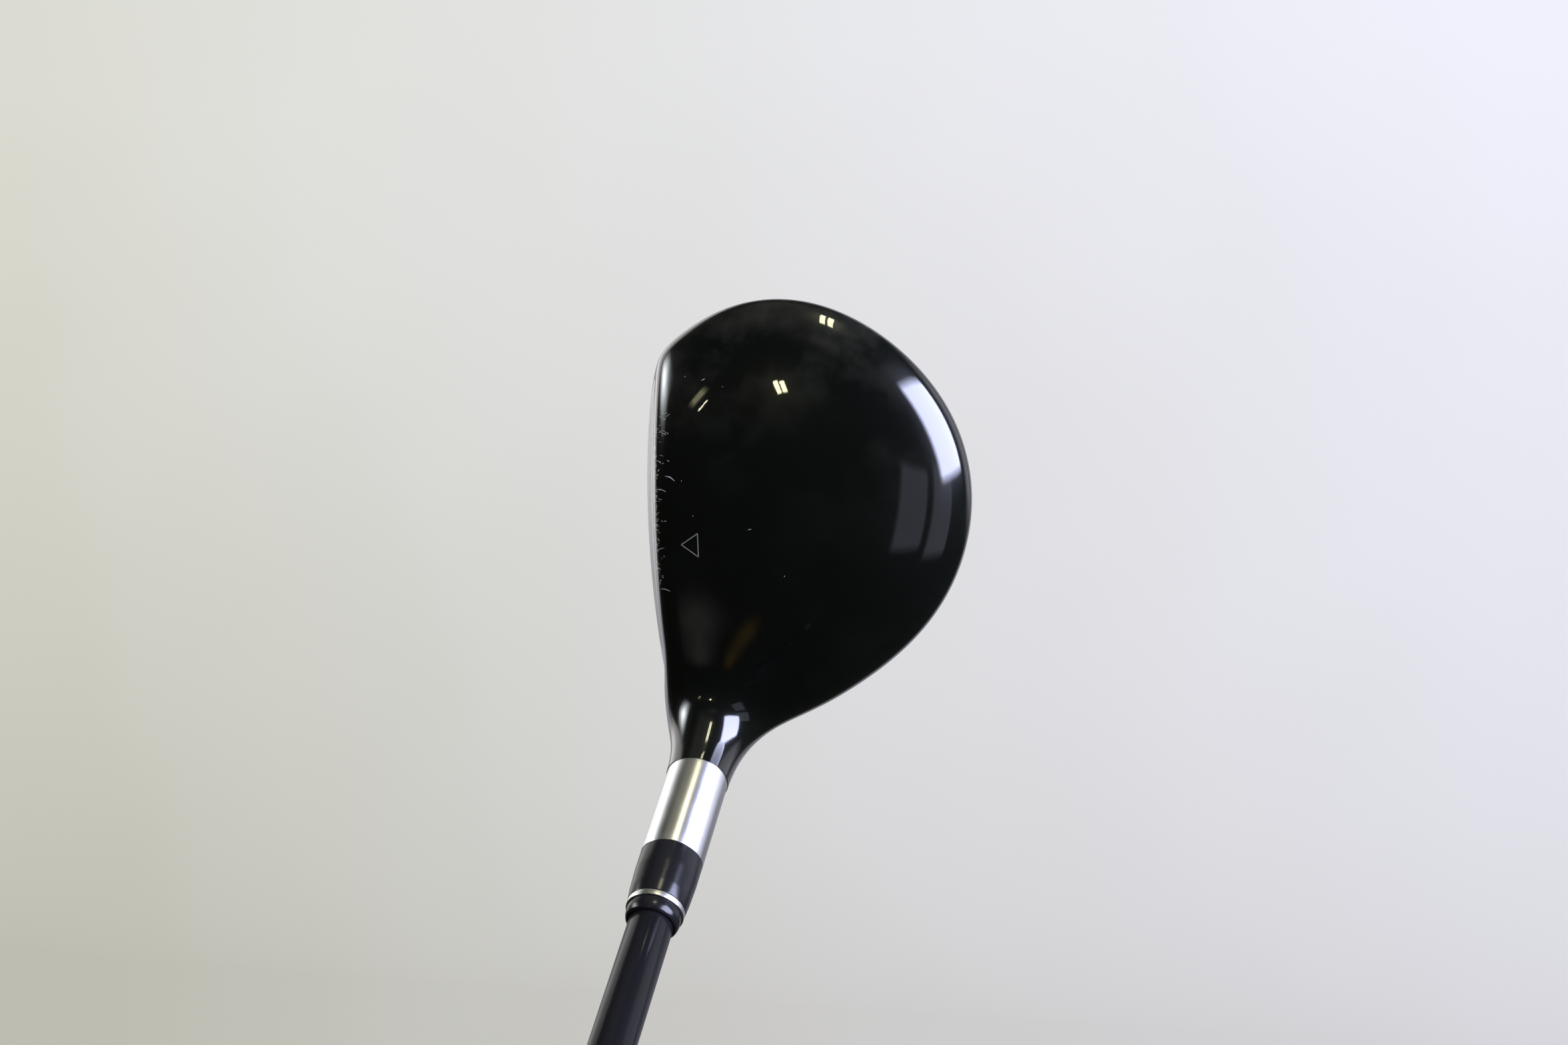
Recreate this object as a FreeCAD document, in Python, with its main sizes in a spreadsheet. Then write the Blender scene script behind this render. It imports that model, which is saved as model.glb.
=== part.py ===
"""A right-handed bonded fairway wood: hollow steel head, silver hosel tube, ferrule, graphite shaft, grip.

Frame: millimetres, +Z up, +Y toward the toe, +X toward the rear of the head. The origin is the point of
the sole that touches the ground at address. The shaft rises toward -Y. A station is a distance along the
shaft axis, measured from where that axis meets the ground.
"""
import FreeCAD, Part
import math
import os
import Sketcher

DIMENSIONS = [
    # posture of the head and the shaft
    ("lie_angle", 59.0),
    ("loft_angle", 20.5),
    ("shaft_plane_x", -12.0),
    ("shaft_ground_y", -29.0),
    # outer shape of the head
    ("crown_height", 36.0),
    ("rim_height", 22.0),
    ("rim_tilt", 1.0),
    ("face_center_x", -28.0),
    ("face_center_z", 18.0),
    ("face_radius", 254.0),
    ("crown_power", 2.0),
    ("sole_power", 2.8),
    ("heel_swell", 5.0),
    ("heel_swell_angle", 250.0),
    ("heel_swell_tightness", 65.0),
    # walls of the head
    ("crown_wall", 1.0),
    ("skirt_wall", 1.6),
    ("sole_wall", 2.2),
    ("face_wall", 2.6),
    ("crown_edge_scale", 0.88),
    ("crown_heel_y", -20.0),
    ("sole_edge_scale", 0.72),
    ("face_heel_y", -36.0),
    # things fixed to the head
    ("badge_x", 12.0),
    ("badge_length", 26.0),
    ("badge_width", 9.0),
    ("badge_depth", 0.6),
    ("weight_front_x", 8.0),
    ("weight_length", 26.0),
    ("weight_width", 18.0),
    ("weight_top", 7.0),
    ("glue_x", 4.0),
    ("glue_y", 38.0),
    ("glue_z", 11.0),
    ("glue_radius", 9.0),
    # hosel, in stations along the shaft axis
    ("neck_station", 46.7),
    ("neck_root_station", 22.0),
    ("neck_fillet", 12.0),
    ("hosel_top_station", 69.9),
    ("bore_floor_station", 35.5),
    ("tube_end_station", 30.0),
    ("boss_end_station", 27.5),
    ("hosel_diameter", 13.1),
    ("neck_diameter", 13.3),
    ("tube_diameter", 11.2),
    ("boss_diameter", 15.0),
    ("neck_taper", 3.0),
    ("hosel_chamfer", 0.2),
    ("bore_diameter", 9.1),
    ("stop_plug_height", 3.0),
    ("stop_plug_chamfer", 0.8),
    # ferrule
    ("ferrule_length", 12.8),
    ("ring_length", 1.3),
    ("cap_length", 3.0),
    ("ferrule_end_diameter", 12.0),
    ("ring_diameter", 12.0),
    ("cap_diameter", 11.3),
    ("cap_end_diameter", 9.9),
    ("spigot_diameter", 10.3),
    ("spigot_setback", 0.6),
    ("ferrule_bore", 9.2),
    # shaft
    ("tip_diameter", 8.9),
    ("shaft_diameter", 9.15),
    ("tip_bore", 5.0),
    ("tip_parallel", 100.0),
    ("butt_diameter", 15.2),
    ("butt_bore", 13.0),
    ("pin_diameter", 4.9),
    ("pin_length", 18.0),
    ("pin_chamfer", 0.4),
    ("label_station", 600.0),
    ("label_length", 120.0),
    ("film_thickness", 0.1),
    ("trim_band_gap", 4.0),
    ("trim_band_length", 6.0),
    # grip
    ("club_length", 1067.0),
    ("cap_thickness", 4.0),
    ("grip_length", 267.0),
    ("grip_taper_share", 0.6),
    ("tape_thickness", 0.15),
    ("grip_mouth_diameter", 18.6),
    ("grip_butt_diameter", 26.6),
    ("cap_flange_diameter", 29.0),
    ("cap_flange_height", 5.0),
    ("cap_lap", 1.0),
    ("cap_plug_wall", 2.0),
    ("grip_vent_diameter", 3.0),
]

# Radius of the head's outline about the origin every 30 degrees, from the rear (+X) by the toe (+Y).
RIM_RADII = [44.2, 46.5, 47.6, 47.8, 43.3, 40.6, 40.2, 43.9, 48.0, 44.7, 40.2, 41.2]

doc = FreeCAD.newDocument("fairway_wood")
sheet = doc.addObject("Spreadsheet::Sheet", "Dimensions")


def fill_sheet():
    """Writes every driving dimension into the sheet under its alias."""
    rows = DIMENSIONS + [("rim_at_%d" % (30 * i), r) for i, r in enumerate(RIM_RADII)]
    for row, (alias, number) in enumerate(rows, start=1):
        sheet.set("A%d" % row, alias)
        sheet.set("B%d" % row, str(number))
        sheet.setAlias("B%d" % row, alias)
    doc.recompute()


def size(alias):
    return float(sheet.get(alias))


# ---------------------------------------------------------------- turned pieces on the shaft axis

def shaft_placement():
    """Local Z runs up the shaft axis and local X to the rear, from where the axis meets the ground."""
    base = FreeCAD.Vector(size("shaft_plane_x"), size("shaft_ground_y"), 0)
    return FreeCAD.Placement(base, FreeCAD.Rotation(FreeCAD.Vector(1, 0, 0), 90 - size("lie_angle")))


def origin_plane(body, role):
    return next(f for f in body.Origin.OriginFeatures if f.Role == role)


def in_sheet(expression):
    """Puts the sheet's name before each alias of a formula."""
    words = []
    for word in expression.split():
        words.append("Dimensions." + word if word[0].isalpha() else word)
    return " ".join(words)


def profile_sketch(body, name, corners):
    """A closed outline of straight lines; each corner is a (radius, station) pair of formulas."""
    sketch = body.newObject("Sketcher::SketchObject", name)
    sketch.AttachmentSupport = [(origin_plane(body, "XZ_Plane"), "")]
    sketch.MapMode = "FlatFace"
    formulas = [(in_sheet(r), in_sheet(s)) for r, s in corners]
    spots = []
    for radius, station in formulas:
        x = float(sketch.evalExpression(radius))
        y = float(sketch.evalExpression(station))
        spots.append(FreeCAD.Vector(x, y, 0))
    for i, spot in enumerate(spots):
        sketch.addGeometry(Part.LineSegment(spot, spots[(i + 1) % len(spots)]), False)
    for i in range(len(spots)):
        sketch.addConstraint(Sketcher.Constraint("Coincident", i, 2, (i + 1) % len(spots), 1))
    for i, (radius, station) in enumerate(formulas):
        if spots[i].x == 0:
            sketch.addConstraint(Sketcher.Constraint("PointOnObject", i, 1, -2))
        else:
            across = sketch.addConstraint(Sketcher.Constraint("DistanceX", -1, 1, i, 1, spots[i].x))
            sketch.renameConstraint(across, "radius%d" % i)
            sketch.setExpression("Constraints.radius%d" % i, radius)
        along = sketch.addConstraint(Sketcher.Constraint("DistanceY", -1, 1, i, 1, spots[i].y))
        sketch.renameConstraint(along, "station%d" % i)
        sketch.setExpression("Constraints.station%d" % i, station)
    return sketch


def turned_body(label, corners):
    """A body turned about the shaft axis from an outline of radii and stations."""
    body = doc.addObject("PartDesign::Body", label)
    body.Label = label
    sketch = profile_sketch(body, label + "_profile", corners)
    turn = body.newObject("PartDesign::Revolution", label + "_turn")
    turn.Profile = sketch
    turn.ReferenceAxis = (sketch, ["V_Axis"])
    turn.Angle = 360
    body.Placement = shaft_placement()
    return body


def tube_corners(inner, outer, low, high):
    return [(inner, low), (outer, low), (outer, high), (inner, high)]


def make_hosel_pieces():
    """The silver hosel tube, the plug in its bore and the glue between it and the shaft."""
    hosel_tube = turned_body("hosel_tube", [
        ("0", "tube_end_station"),
        ("tube_diameter / 2", "tube_end_station"),
        ("tube_diameter / 2", "neck_station"),
        ("neck_diameter / 2", "neck_station"),
        ("hosel_diameter / 2", "neck_station + neck_taper"),
        ("hosel_diameter / 2", "hosel_top_station - hosel_chamfer"),
        ("hosel_diameter / 2 - hosel_chamfer", "hosel_top_station"),
        ("bore_diameter / 2", "hosel_top_station"),
        ("bore_diameter / 2", "bore_floor_station"),
        ("0", "bore_floor_station"),
    ])
    stop_plug = turned_body("bore_stop_plug", [
        ("0", "bore_floor_station"),
        ("bore_diameter / 2 - stop_plug_chamfer", "bore_floor_station"),
        ("bore_diameter / 2", "bore_floor_station + stop_plug_chamfer"),
        ("bore_diameter / 2", "bore_floor_station + stop_plug_height"),
        ("0", "bore_floor_station + stop_plug_height"),
    ])
    epoxy = turned_body("epoxy_sleeve", tube_corners(
        "tip_diameter / 2", "bore_diameter / 2",
        "bore_floor_station + stop_plug_height", "hosel_top_station",
    ))
    return [hosel_tube, stop_plug, epoxy]


def make_ferrule_pieces():
    """The ferrule's body with its thin spigot, the silver ring on the spigot and the rounded end cap."""
    body_end = "hosel_top_station + ferrule_length"
    ring_end = body_end + " + ring_length"
    cap_end = ring_end + " + cap_length"
    ferrule = turned_body("ferrule_body", [
        ("ferrule_bore / 2", "hosel_top_station"),
        ("hosel_diameter / 2 - 0.1", "hosel_top_station"),
        ("hosel_diameter / 2", "hosel_top_station + 0.3"),
        ("hosel_diameter / 2 - 0.05", "hosel_top_station + 0.4 * ferrule_length"),
        ("ferrule_end_diameter / 2", body_end),
        ("spigot_diameter / 2", body_end),
        ("spigot_diameter / 2", cap_end + " - spigot_setback"),
        ("ferrule_bore / 2", cap_end + " - spigot_setback"),
    ])
    ring = turned_body("ferrule_trim_ring", [
        ("spigot_diameter / 2", body_end),
        ("ring_diameter / 2 - 0.15", body_end),
        ("ring_diameter / 2", body_end + " + 0.2"),
        ("ring_diameter / 2 - 0.1", ring_end + " - 0.2"),
        ("ring_diameter / 2 - 0.25", ring_end),
        ("spigot_diameter / 2", ring_end),
    ])
    cap = turned_body("ferrule_end_cap", [
        ("spigot_diameter / 2", ring_end),
        ("cap_diameter / 2", ring_end),
        ("cap_diameter / 2 - 0.05", ring_end + " + 0.5 * cap_length"),
        ("0.25 * cap_diameter + 0.25 * cap_end_diameter + 0.15", ring_end + " + 0.85 * cap_length"),
        ("cap_end_diameter / 2", cap_end),
        ("ferrule_bore / 2", cap_end),
        ("ferrule_bore / 2", cap_end + " - spigot_setback"),
        ("spigot_diameter / 2", cap_end + " - spigot_setback"),
    ])
    return [ferrule, ring, cap]


def shaft_radius(station):
    """Formula for the shaft's outer radius at a station above its parallel tip."""
    start = "( bore_floor_station + stop_plug_height + tip_parallel )"
    end = "( club_length - cap_thickness - grip_taper_share * grip_length )"
    rise = "( butt_diameter - shaft_diameter ) / 2"
    share = "( " + station + " - " + start + " ) / ( " + end + " - " + start + " )"
    return "shaft_diameter / 2 + " + rise + " * " + share


def make_shaft_pieces():
    """The hollow graphite shaft, the weight pin in its tip, its label film and its trim band."""
    tip = "bore_floor_station + stop_plug_height"
    seat = "hosel_top_station"
    taper_start = tip + " + tip_parallel"
    taper_end = "club_length - cap_thickness - grip_taper_share * grip_length"
    butt = "club_length - cap_thickness"
    shaft = turned_body("graphite_shaft", [
        ("tip_bore / 2", tip),
        ("tip_diameter / 2", tip),
        ("tip_diameter / 2", seat),
        ("shaft_diameter / 2", seat),
        ("shaft_diameter / 2", taper_start),
        ("butt_diameter / 2", taper_end),
        ("butt_diameter / 2", butt),
        ("butt_bore / 2", butt),
        ("butt_bore / 2", taper_end),
        ("tip_bore / 2", taper_start),
    ])
    pin = turned_body("tip_weight_pin", [
        ("0", tip),
        ("pin_diameter / 2 - pin_chamfer", tip),
        ("pin_diameter / 2", tip + " + pin_chamfer"),
        ("pin_diameter / 2", tip + " + pin_length"),
        ("0", tip + " + pin_length"),
    ])
    label_end = "label_station + label_length"
    label = turned_body("shaft_label_film", [
        (shaft_radius("label_station"), "label_station"),
        (shaft_radius("label_station") + " + film_thickness", "label_station"),
        (shaft_radius(label_end) + " + film_thickness", label_end),
        (shaft_radius(label_end), label_end),
    ])
    band_start = label_end + " + trim_band_gap"
    band_end = band_start + " + trim_band_length"
    band = turned_body("shaft_trim_band", [
        (shaft_radius(band_start), band_start),
        (shaft_radius(band_start) + " + film_thickness", band_start),
        (shaft_radius(band_end) + " + film_thickness", band_end),
        (shaft_radius(band_end), band_end),
    ])
    return [shaft, pin, label, band]


def make_grip_pieces():
    """The double-sided tape on the shaft's butt, the rubber sleeve over it and the cap at its end."""
    butt = "club_length - cap_thickness"
    mouth = "club_length - grip_length"
    taper_end = "club_length - cap_thickness - grip_taper_share * grip_length"
    tape = turned_body("grip_tape", [
        (shaft_radius(mouth), mouth),
        (shaft_radius(mouth) + " + tape_thickness", mouth),
        ("butt_diameter / 2 + tape_thickness", taper_end),
        ("butt_diameter / 2 + tape_thickness", butt),
        ("butt_diameter / 2", butt),
        ("butt_diameter / 2", taper_end),
    ])
    sleeve = turned_body("grip_sleeve", [
        (shaft_radius(mouth) + " + tape_thickness", mouth),
        ("grip_mouth_diameter / 2 - 0.8", mouth),
        ("grip_mouth_diameter / 2", mouth + " + 1.5"),
        ("grip_mouth_diameter / 2 + 1.3", mouth + " + 0.5 * grip_length"),
        ("grip_butt_diameter / 2 - 0.8", butt + " - 30"),
        ("grip_butt_diameter / 2", butt + " - cap_flange_height"),
        ("grip_butt_diameter / 2", butt + " - cap_flange_height + cap_lap"),
        ("grip_butt_diameter / 2 - cap_plug_wall", butt + " - cap_flange_height + cap_lap"),
        ("grip_butt_diameter / 2 - cap_plug_wall", butt),
        ("butt_diameter / 2 + tape_thickness", butt),
        ("butt_diameter / 2 + tape_thickness", taper_end),
    ])
    cap = turned_body("grip_end_cap", [
        ("grip_vent_diameter / 2", butt),
        ("grip_butt_diameter / 2 - cap_plug_wall", butt),
        ("grip_butt_diameter / 2 - cap_plug_wall", butt + " - cap_flange_height + cap_lap"),
        ("cap_flange_diameter / 2 - 0.6", butt + " - cap_flange_height + cap_lap"),
        ("cap_flange_diameter / 2", butt + " - cap_flange_height + 2.5"),
        ("cap_flange_diameter / 2", butt + " + 0.5"),
        ("cap_flange_diameter / 2 - 1.2", butt + " + 2.6"),
        ("cap_flange_diameter / 2 - 4", "club_length"),
        ("grip_vent_diameter / 2", "club_length"),
    ])
    return [tape, sleeve, cap]


# ---------------------------------------------------------------- the head's free shapes

def rim_radius(angle, reach=1.0):
    """The outline's radius at an angle: the smooth wave through the twelve clock positions.

    Inside the outline, at a reach under 1, each wave dies away towards the middle, so that the head's top
    and bottom are smooth there. The heel swells a little more, to hold the root of the neck.
    """
    count = len(RIM_RADII)
    radii = [size("rim_at_%d" % (30 * i)) for i in range(count)]
    total = 0.0
    for i, radius in enumerate(radii):
        gap = angle - 2 * math.pi * i / count
        waves = 1.0 + math.cos(count / 2 * gap) * reach ** (count / 2)
        for k in range(1, count // 2):
            waves += 2 * math.cos(k * gap) * reach ** k
        total += radius * waves / count
    swell_gap = 1 - math.cos(angle - math.radians(size("heel_swell_angle")))
    return total + size("heel_swell") * reach ** 6 * math.exp(-size("heel_swell_tightness") * swell_gap)


def blank_point(angle, slope, crown_inset, rim_inset, sole_inset):
    """A point of the head's pebble: slope runs from 0 at the crown's top to pi under the sole."""
    reach = math.sin(slope)
    radius = (rim_radius(angle, reach) - rim_inset) * reach
    rim = size("rim_height") - size("rim_tilt") * reach * math.cos(angle)
    if slope <= math.pi / 2:
        lift = math.sqrt(max(0.0, 1 - reach ** size("crown_power")))
        height = rim + (size("crown_height") - crown_inset - rim) * lift
    else:
        lift = math.sqrt(max(0.0, 1 - reach ** size("sole_power")))
        height = rim - (rim - sole_inset) * lift
    return FreeCAD.Vector(radius * math.cos(angle), radius * math.sin(angle), height)


def blank(crown_inset=0.0, rim_inset=0.0, sole_inset=0.0):
    """The closed pebble that the head is cut from, or a smaller one for the room inside it."""
    columns, rows = 36, 24
    grid = []
    for i in range(columns + 1):
        angle = math.pi + 2 * math.pi * (i % columns) / columns
        column = []
        for j in range(rows + 1):
            column.append(blank_point(angle, math.pi * j / rows, crown_inset, rim_inset, sole_inset))
        grid.append(column)
    surface = Part.BSplineSurface()
    surface.interpolate(grid)
    return Part.Solid(Part.Shell([surface.toShape()]))


def face_ball(depth=0.0):
    """The ball whose front is the face, curved the same both ways, or that surface a depth behind it."""
    loft = math.radians(size("loft_angle"))
    center = FreeCAD.Vector(size("face_center_x"), 0, size("face_center_z"))
    inward = FreeCAD.Vector(math.cos(loft), 0, -math.sin(loft))
    return Part.makeSphere(size("face_radius"), center + inward * (size("face_radius") + depth))


def placed(shape):
    """A copy of a shape drawn about the shaft axis, moved to where that axis is."""
    moved = shape.copy()
    moved.transformShape(shaft_placement().toMatrix())
    return moved


def axis_cylinder(diameter, low, high):
    start = FreeCAD.Vector(0, 0, low)
    return placed(Part.makeCylinder(diameter / 2, high - low, start, FreeCAD.Vector(0, 0, 1)))


def neck():
    """The plain round neck, from inside the head to where the silver tube starts."""
    return axis_cylinder(size("neck_diameter"), size("neck_root_station"), size("neck_station"))


def blended_blank():
    """The pebble with the neck growing out of it through a rounded root."""
    joined = blank().fuse(neck())
    root = []
    for edge in joined.Edges:
        box = edge.BoundBox
        if not edge.Degenerated and box.YMax < size("shaft_ground_y") and box.ZMax < size("crown_height"):
            root.append(edge)
    return joined.makeFillet(size("neck_fillet"), root)


def outline_prism(scale, low, high):
    """An upright prism of the head's outline, scaled about the origin."""
    points = []
    for i in range(36):
        angle = 2 * math.pi * i / 36
        reach = rim_radius(angle) * scale
        points.append(FreeCAD.Vector(reach * math.cos(angle), reach * math.sin(angle), low))
    edge = Part.BSplineCurve()
    edge.interpolate(points, PeriodicFlag=True)
    return Part.Face(Part.Wire([edge.toShape()])).extrude(FreeCAD.Vector(0, 0, high - low))


def badge_prism(low, high):
    """An upright prism of the badge's ellipse, long side from heel to toe."""
    middle = FreeCAD.Vector(size("badge_x"), 0, low)
    edge = Part.Ellipse(middle, size("badge_length") / 2, size("badge_width") / 2).toShape()
    edge.rotate(middle, FreeCAD.Vector(0, 0, 1), 90)
    return Part.Face(Part.Wire([edge])).extrude(FreeCAD.Vector(0, 0, high - low))


def beyond(heel_y):
    """A block larger than the head that holds everything on the toe side of a plane."""
    block = 200
    return Part.makeBox(block, block, block, FreeCAD.Vector(-block / 2, heel_y, -block / 4))


def largest(shape):
    """The biggest solid of a boolean's result."""
    return max(shape.Solids, key=lambda s: s.Volume)


def add_piece(label, shape):
    piece = doc.addObject("Part::Feature", label)
    piece.Label = label
    piece.Shape = shape
    piece.Placement = FreeCAD.Placement()
    return piece


def make_head_pieces():
    """The steel head, opened up into its shells, and what is fixed inside and under it."""
    faced = blended_blank().common(face_ball())
    outer = faced.fuse(neck())
    face_slab = faced.cut(face_ball(size("face_wall")))
    toe_side = beyond(size("face_heel_y"))
    face_plate = largest(face_slab.common(toe_side))

    inner_blank = blank(size("crown_wall"), size("skirt_wall"), size("sole_wall"))
    room = inner_blank.common(face_ball(size("face_wall")))
    boss = axis_cylinder(size("boss_diameter"), size("boss_end_station"), size("neck_station") - 0.5)
    cavity = room.cut(boss)
    shell = outer.cut(face_plate).cut(cavity)

    rim_top = size("rim_height") + size("rim_tilt") + 1
    crown_prism = outline_prism(size("crown_edge_scale"), rim_top, rim_top + 40)
    crown_side = beyond(size("crown_heel_y"))
    crown_shell = largest(shell.common(crown_prism).common(crown_side))
    sole_prism = outline_prism(size("sole_edge_scale"), -5, size("rim_height") / 2)
    sole_whole = largest(shell.common(sole_prism))
    body = shell.cut(crown_shell).cut(sole_whole)
    tube = axis_cylinder(size("tube_diameter"), size("tube_end_station"), size("neck_station") + 5)
    head_body = largest(body.cut(tube))

    badge_core = blank(1.0, 1.0, size("badge_depth"))
    badge = largest(blank().common(badge_prism(-2, 6)).cut(badge_core))
    sole_plate = largest(sole_whole.cut(badge))

    weight_box = Part.makeBox(
        size("weight_width"), size("weight_length"), size("weight_top"),
        FreeCAD.Vector(size("weight_front_x"), -size("weight_length") / 2, 0),
    )
    sole_weight = largest(room.common(weight_box))
    glue_middle = FreeCAD.Vector(size("glue_x"), size("glue_y"), size("glue_z"))
    glue_ball = Part.makeSphere(size("glue_radius"), glue_middle)
    glue = largest(room.common(glue_ball))
    return [
        add_piece("head_body", head_body),
        add_piece("crown_shell", crown_shell),
        add_piece("face_plate", face_plate),
        add_piece("sole_plate", sole_plate),
        add_piece("sole_badge", badge),
        add_piece("sole_weight", sole_weight),
        add_piece("hot_melt_pad", glue),
    ]


# ---------------------------------------------------------------- checks and files

def check(pieces):
    """Stops on a failed feature or a piece that isn't one valid solid."""
    for item in doc.Objects:
        if "Invalid" in item.State or "Error" in item.State:
            raise RuntimeError("%s is %s" % (item.Label, item.State))
    for piece in pieces:
        shape = piece.Shape
        if shape.isNull() or not shape.isValid() or len(shape.Solids) != 1:
            raise RuntimeError("%s isn't one valid solid" % piece.Label)
        print("%-20s %10.1f mm3" % (piece.Label, shape.Volume))


def main():
    fill_sheet()
    pieces = make_hosel_pieces() + make_ferrule_pieces() + make_shaft_pieces() + make_grip_pieces()
    pieces += make_head_pieces()
    doc.recompute()
    check(pieces)
    os.makedirs("parts", exist_ok=True)
    for piece in pieces:
        piece.Shape.exportStep("parts/%s.step" % piece.Label)


main()
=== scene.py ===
"""The looks of a fairway wood: gloss black head, satin steel hosel and face, black ferrule, shaft and grip.

The head is one smooth field, meshed and cut into its painted shell, face, sole and badge. Everything on
the shaft axis is turned from a profile. Shapes are worked out in millimetres and stored in metres.
"""
import math

import bpy
import bmesh
import numpy as np
from mathutils import Matrix, Vector


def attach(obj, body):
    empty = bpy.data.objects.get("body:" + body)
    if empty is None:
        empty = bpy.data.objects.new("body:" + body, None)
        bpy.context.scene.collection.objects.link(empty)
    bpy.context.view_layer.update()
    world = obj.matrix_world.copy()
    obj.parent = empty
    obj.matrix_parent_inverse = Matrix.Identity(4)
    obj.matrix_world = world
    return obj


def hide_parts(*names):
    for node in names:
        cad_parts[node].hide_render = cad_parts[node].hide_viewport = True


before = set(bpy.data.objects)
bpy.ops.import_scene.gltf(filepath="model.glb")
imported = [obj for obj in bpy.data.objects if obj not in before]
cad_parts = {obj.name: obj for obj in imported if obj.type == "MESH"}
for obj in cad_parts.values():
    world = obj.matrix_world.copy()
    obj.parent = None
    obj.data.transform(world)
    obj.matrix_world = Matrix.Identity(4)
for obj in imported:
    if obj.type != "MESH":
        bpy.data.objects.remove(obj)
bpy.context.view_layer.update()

MM = 0.001

# ---------------------------------------------------------------- posture and head, in millimetres
LIE = math.radians(59.0)
LOFT = math.radians(20.5)
AXIS_FOOT = np.array([-12.0, -29.0, 0.0])
AXIS = np.array([0.0, -math.cos(LIE), math.sin(LIE)])
AXIS_SIDE = np.array([0.0, math.sin(LIE), math.cos(LIE)])

CROWN_HEIGHT = 36.0
RIM_HEIGHT, RIM_TILT = 22.0, 1.0
CROWN_POWER, SOLE_POWER = 2.0, 2.8
# Radius of the outline every 30 degrees, from the rear (+X) round by the toe (+Y).
RIM_RADII = [44.2, 46.5, 47.6, 47.8, 43.3, 40.6, 40.2, 43.9, 48.0, 44.7, 40.2, 41.2]
RIM_WAVES = np.fft.rfft(RIM_RADII) / len(RIM_RADII)
MEAN_RADIUS = RIM_WAVES[0].real
HEEL_SWELL, HEEL_TURN, HEEL_TIGHTNESS = 5.0, math.radians(250), 65.0

FACE_CENTER = np.array([-28.0, 0.0, 18.0])
FACE_UP = np.array([math.sin(LOFT), 0.0, math.cos(LOFT)])
FACE_RADIUS = 254.0
BALL_CENTER = FACE_CENTER + FACE_RADIUS * np.array([math.cos(LOFT), 0.0, -math.sin(LOFT)])
FACE_ROUND = 4.0
FACE_PAINT_EDGE = 3.3
FACE_HEEL_Y = -36.0
LINE_STEP, LINE_REACH, LINE_DEPTH, LINE_WIDTH = 4.0, 11.0, 0.3, 0.3
LINE_EDGE_GAP, LINE_HEEL_GAP = 3.5, 8.0

SOLE_SCALE, SOLE_TOP, SOLE_FACE_GAP = 0.74, 11.0, 3.5
BADGE_X, BADGE_HALF_X, BADGE_HALF_Y = 12.0, 4.5, 13.0
SEAM_DEPTH, SEAM_WIDTH = 0.22, 0.28

NECK_RADIUS, NECK_ROOT, NECK_END = 6.65, 26.0, 46.7
NECK_BLEND, BLEND_LOW, BLEND_HIGH = 18.0, 12.0, 26.0

# The box and the step of the head's first net, and how near a fine feature each refining reaches.
NET_LOW, NET_HIGH, NET_STEP = (-44, -66, -3), (48, 52, 52), 1.0
REFINE_REACHES = (1.9, 1.0)
REACH_LIMIT, REACH_BEND, REACH_ROUNDS = 1.15, 12, 12
PAINTED_WALL, FACE_WALL, SOLE_WALL, BADGE_WALL = 0.7, 1.2, 1.0, 0.55


# ---------------------------------------------------------------- the head's field

def station(points):
    """Distance along the shaft axis from where it meets the ground."""
    return (points - AXIS_FOOT) @ AXIS


def ramp(value, low, high):
    t = np.clip((value - low) / (high - low), 0, 1)
    return t * t * (3 - 2 * t)


def rim_radius(turn, reach):
    """Outline radius towards a unit complex number; each wave dies away inside the outline."""
    total = np.full(reach.shape, MEAN_RADIUS)
    wave = np.ones_like(turn)
    last = len(RIM_WAVES) - 1
    for k in range(1, last + 1):
        wave = wave * turn * reach
        total = total + (2.0 if k < last else 1.0) * (RIM_WAVES[k] * wave).real
    heel_gap = 1 - (turn * np.exp(-1j * HEEL_TURN)).real
    return total + HEEL_SWELL * reach ** last * np.exp(-HEEL_TIGHTNESS * heel_gap)


def plan(points):
    """Direction, reach (1 on the outline) and outline radius of each point, seen from above."""
    rho = np.maximum(np.hypot(points[:, 0], points[:, 1]), 1e-6)
    turn = (points[:, 0] + 1j * points[:, 1]) / rho
    reach = rho / MEAN_RADIUS
    for _ in range(REACH_ROUNDS):
        held = reach / (1 + (reach / REACH_LIMIT) ** REACH_BEND) ** (1 / REACH_BEND)
        radius = rim_radius(turn, held)
        reach = rho / radius
    return turn, reach, radius


def pebble(points):
    """Nearly the distance to the pebble that the head is cut from, negative inside."""
    turn, reach, radius = plan(points)
    rim = RIM_HEIGHT - RIM_TILT * np.minimum(reach, 1.0) * turn.real
    above = points[:, 2] >= rim
    depth = np.where(above, CROWN_HEIGHT - rim, rim)
    power = np.where(above, CROWN_POWER, SOLE_POWER)
    rise = np.abs(points[:, 2] - rim) / depth
    size = np.sqrt(rise ** 2 + reach ** power)
    slope = np.hypot(rise / depth, 0.5 * power * reach ** (power - 1) / radius)
    return (size - 1) * size / np.maximum(slope, 1e-9)


def face_ball(points):
    return np.linalg.norm(points - BALL_CENTER, axis=1) - FACE_RADIUS


def neck(points):
    along = np.maximum(station(points), NECK_ROOT)
    return np.linalg.norm(points - AXIS_FOOT - along[:, None] * AXIS, axis=1) - NECK_RADIUS


def join(a, b, blend):
    """Smooth union of two fields."""
    near = np.maximum(blend - np.abs(a - b), 0) / blend
    return np.minimum(a, b) - near ** 3 * blend / 6


def head(points):
    """The head: the pebble cut by the face's ball, with the neck growing out of it."""
    cut = -join(-pebble(points), -face_ball(points), FACE_ROUND)
    blend = NECK_BLEND * ramp(station(points), BLEND_LOW, BLEND_HIGH) + 0.01
    return join(cut, neck(points), blend)


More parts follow.
